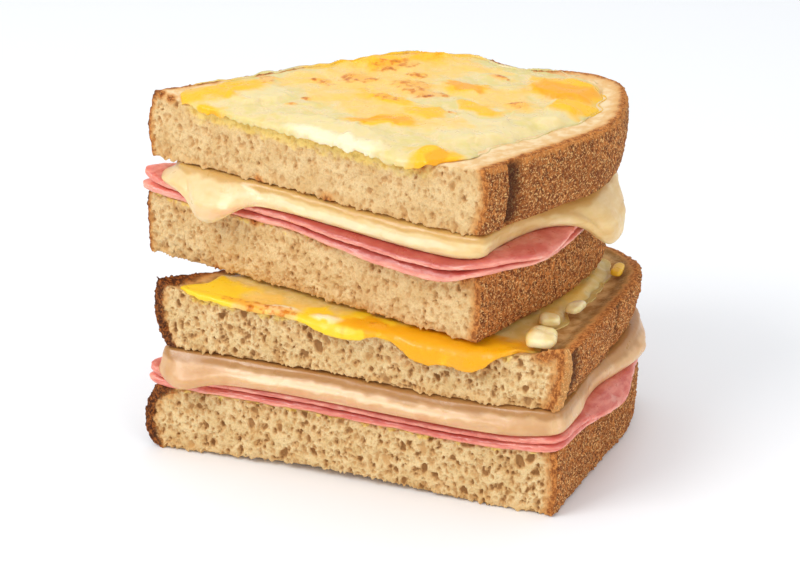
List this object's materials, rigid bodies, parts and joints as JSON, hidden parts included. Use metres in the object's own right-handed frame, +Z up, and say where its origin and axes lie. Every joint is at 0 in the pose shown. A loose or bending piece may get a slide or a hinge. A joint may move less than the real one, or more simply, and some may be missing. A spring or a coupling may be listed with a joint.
{
  "type": "ham and cheese toastie",
  "caption": "Toasted ham and cheese sandwich of thick bread, cut in two with one half laid on the other and cheese melted over the top.",
  "frame": {"origin": "middle of the bounding box's underside, on the surface that the lower half rests on", "axes": "+X along the lower half's cut face, +Y from that cut face back into the bread, +Z up"},
  "size_m": [0.1386, 0.0892, 0.1011],
  "materials": {
    "bread": "matt open crumb with a browned crust",
    "ham": "moist boiled ham with a soft sheen",
    "cheese": "melted pale cheese with a soft gloss",
    "toasted_cheese": "melted cheese with orange cheddar patches and browned blisters"
  },
  "bodies": {
    "root": {"lower_base_bread": "bread", "lower_ham_base": "ham", "lower_ham_top": "ham", "lower_cheese": "cheese", "lower_top_bread": "bread", "lower_melt": "toasted_cheese", "lower_cheese_scrap_1": "cheese", "lower_cheese_scrap_2": "cheese", "lower_cheese_scrap_3": "cheese", "lower_cheese_scrap_4": "toasted_cheese", "upper_base_bread": "bread", "upper_ham_base": "ham", "upper_ham_top": "ham", "upper_cheese": "cheese", "upper_top_bread": "bread", "upper_melt": "toasted_cheese"}
  },
  "joints": []
}
